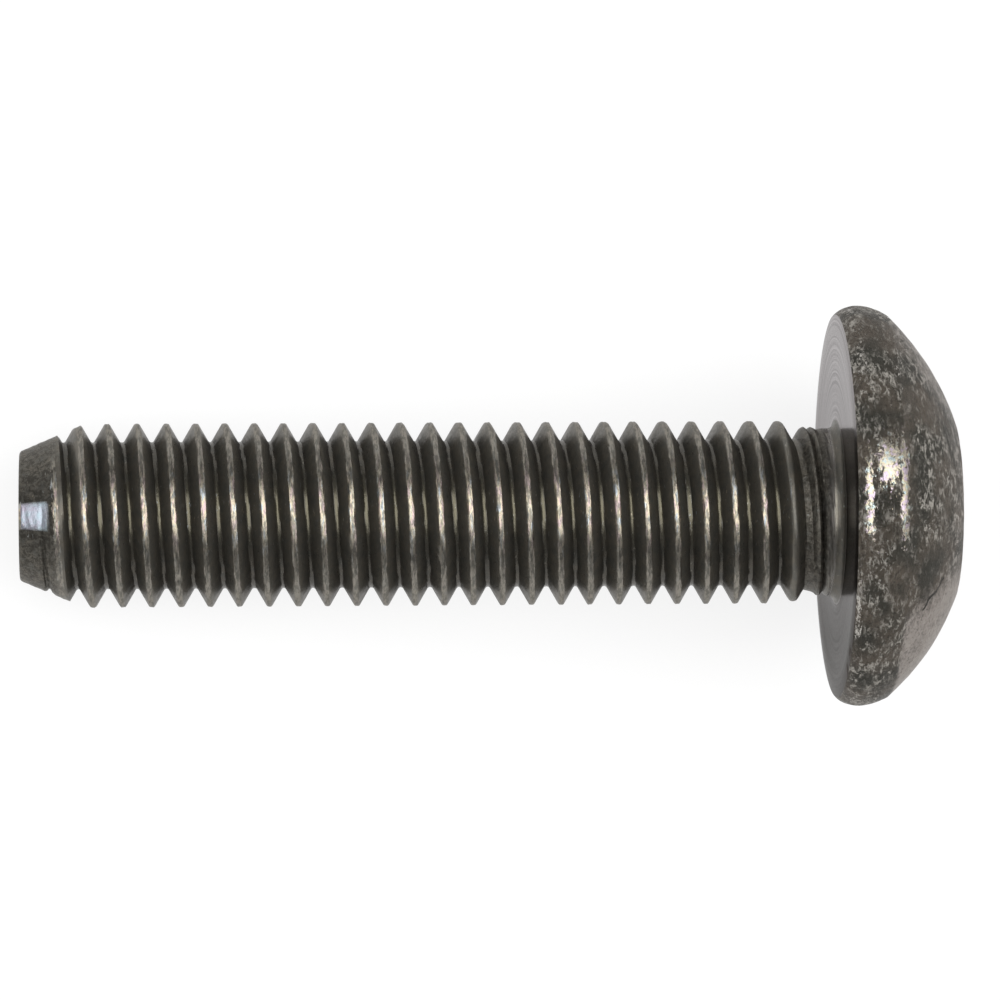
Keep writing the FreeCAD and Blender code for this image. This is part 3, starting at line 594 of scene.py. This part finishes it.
# Rubbed steel, with painted highlights where the bare spots lie in the band under the soft box.
mask = node(tree, "ShaderNodeMath", {0: worn_and_lit_share, 1: ragged}, operation="ADD")
scraped = node(tree, "ShaderNodeMapRange", {0: mask, 1: 0.5, 2: 0.8}, interpolation_type="SMOOTHSTEP")
bands = node(tree, "ShaderNodeTexNoise", {"Vector": plain, "Scale": 1 / RIM_BAND, "Detail": 3.0})
early = node(tree, "ShaderNodeMapRange", {0: bands, 1: 0.38, 2: 0.52})
late = node(tree, "ShaderNodeMapRange", {0: bands, 1: 0.52, 2: 0.66})
highlight_tint = node(tree, "ShaderNodeMix", {0: early, MIX_FIRST: linear(RIM_ROSE), MIX_SECOND: linear(RIM_STRAW)},
            data_type="RGBA")
highlight_tint = node(tree, "ShaderNodeMix", {0: late, MIX_FIRST: highlight_tint.outputs[MIX_COLOUR], MIX_SECOND: linear(RIM_BLUE)},
            data_type="RGBA")
# Painted highlight: in the band under the soft box the bare rim turns paler straw, rose and blue.
share = node(tree, "ShaderNodeMath", {0: lit_band, 1: 0.7}, operation="MULTIPLY")
bare = node(tree, "ShaderNodeMix", {0: share, MIX_FIRST: linear(BARE), MIX_SECOND: highlight_tint.outputs[MIX_COLOUR]},
            data_type="RGBA")
colour = node(tree, "ShaderNodeMix", {0: scraped, MIX_FIRST: oxide.outputs[MIX_COLOUR],
                                      MIX_SECOND: bare.outputs[MIX_COLOUR]}, data_type="RGBA")
metal = node(tree, "ShaderNodeMapRange", {0: scraped, 3: 0.85, 4: 1.0})
gloss = node(tree, "ShaderNodeMapRange", {0: scraped, 3: 0.34, 4: 0.16})
height = node(tree, "ShaderNodeMath", {0: specks, 1: 0.6, 2: scale_skin}, operation="MULTIPLY_ADD")
strength = node(tree, "ShaderNodeMapRange", {0: scraped, 3: 1.0, 4: 0.10})
calmer = node(tree, "ShaderNodeMapRange", {0: smooth, 3: 1.0, 4: 0.4})
strength = node(tree, "ShaderNodeMath", {0: strength, 1: calmer}, operation="MULTIPLY")
relief = node(tree, "ShaderNodeBump", {"Height": height, "Strength": strength, "Distance": 0.14 * MM})
steel = node(tree, "ShaderNodeBsdfPrincipled", {"Base Color": colour.outputs[MIX_COLOUR], "Metallic": metal,
                                                "Specular Tint": GRAZING_TINT, "Roughness": gloss, "Normal": relief})
node(tree, "ShaderNodeOutputMaterial", {"Surface": steel})

for material in (rolled, turned, forged):
    mesh.materials.append(material)
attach(screw, "root")
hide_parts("screw")

# The floor: a sheet of matt white paper under the screw. To the camera and in the steel it glows, so that it shows as
# plain white and the screw's shadow on it stays faint.
FLOOR_HALF = 1.5
PAPER, PAPER_SEEN, PAPER_GLOW = 0.8, 1.0, 0.8
paper, tree = new_material("white_paper_matt")
rays = node(tree, "ShaderNodeLightPath").outputs
seen = node(tree, "ShaderNodeMath", {0: rays["Is Camera Ray"], 1: rays["Is Glossy Ray"]}, operation="MAXIMUM")
seen = node(tree, "ShaderNodeMath", {0: seen, 1: rays["Is Transmission Ray"]}, operation="MAXIMUM")
glow = node(tree, "ShaderNodeMath", {0: seen, 1: PAPER_GLOW}, operation="MULTIPLY")
shade = node(tree, "ShaderNodeMapRange", {0: seen, 3: PAPER, 4: PAPER_SEEN})
matt = node(tree, "ShaderNodeBsdfDiffuse", {"Color": shade})
white = node(tree, "ShaderNodeEmission", {"Color": (1, 1, 1, 1), "Strength": 1.0})
both = node(tree, "ShaderNodeMixShader", {0: glow, 1: matt, 2: white})
node(tree, "ShaderNodeOutputMaterial", {"Surface": both})
sheet = bpy.data.meshes.new("floor")
corners = [(-FLOOR_HALF, -FLOOR_HALF, 0), (FLOOR_HALF, -FLOOR_HALF, 0), (FLOOR_HALF, FLOOR_HALF, 0),
           (-FLOOR_HALF, FLOOR_HALF, 0)]
sheet.from_pydata(corners, [], [(0, 1, 2, 3)])
sheet.materials.append(paper)
floor = bpy.data.objects.new("floor", sheet)
bpy.context.scene.collection.objects.link(floor)

# The light: one long soft box above the camera, which the crests and the rim show as a bright band along their middle,
# and a grey room round it. Its backdrop is white to the camera, and in the steel as far up as BACKDROP_TOP.
BOX_HEIGHT, BOX_LENGTH, BOX_WIDTH = 0.6, 2.7, 0.62
BOX_ALONG, BOX_ASIDE = 0.35, 0.06
BOX_RADIANCE = 2.5
box_light = bpy.data.lights.new("soft_box", "AREA")
box_light.shape = "RECTANGLE"
box_light.size, box_light.size_y = BOX_LENGTH, BOX_WIDTH
box_light.energy = BOX_RADIANCE * math.pi * BOX_LENGTH * BOX_WIDTH
soft_box = bpy.data.objects.new("soft_box", box_light)
soft_box.location = (BOX_ALONG, BOX_ASIDE, BOX_HEIGHT)
bpy.context.scene.collection.objects.link(soft_box)

ROOM, HORIZON = 0.25, 0.7
BACKDROP_TOP = 0.2
world = bpy.data.worlds.new("room")
world.use_nodes = True
tree = world.node_tree
tree.nodes.clear()
direction = node(tree, "ShaderNodeTexCoord").outputs["Generated"]
height = node(tree, "ShaderNodeSeparateXYZ", {0: direction}).outputs["Z"]
level_share = node(tree, "ShaderNodeMapRange", {0: height, 1: 0.0, 2: 0.5}, interpolation_type="SMOOTHSTEP")
glow = node(tree, "ShaderNodeMix", {0: level_share, MIX_FIRST: (HORIZON, HORIZON, HORIZON, 1),
                                    MIX_SECOND: (ROOM, ROOM, ROOM, 1)}, data_type="RGBA")
rays = node(tree, "ShaderNodeLightPath").outputs
mirrored = node(tree, "ShaderNodeMath", {0: rays["Is Glossy Ray"], 1: rays["Is Transmission Ray"]}, operation="MAXIMUM")
low_down = node(tree, "ShaderNodeMapRange", {0: height, 1: 0.06, 2: BACKDROP_TOP, 3: 1.0, 4: 0.0})
mirrored = node(tree, "ShaderNodeMath", {0: mirrored, 1: low_down}, operation="MULTIPLY")
backdrop = node(tree, "ShaderNodeMath", {0: rays["Is Camera Ray"], 1: mirrored}, operation="MAXIMUM")
seen = node(tree, "ShaderNodeMix", {0: backdrop, MIX_FIRST: glow.outputs[MIX_COLOUR], MIX_SECOND: (1, 1, 1, 1)},
            data_type="RGBA")
sky = node(tree, "ShaderNodeBackground", {"Color": seen.outputs[MIX_COLOUR], "Strength": 1.0})
node(tree, "ShaderNodeOutputWorld", {"Surface": sky})
bpy.context.scene.world = world
bpy.context.scene.view_settings.view_transform = "Standard"
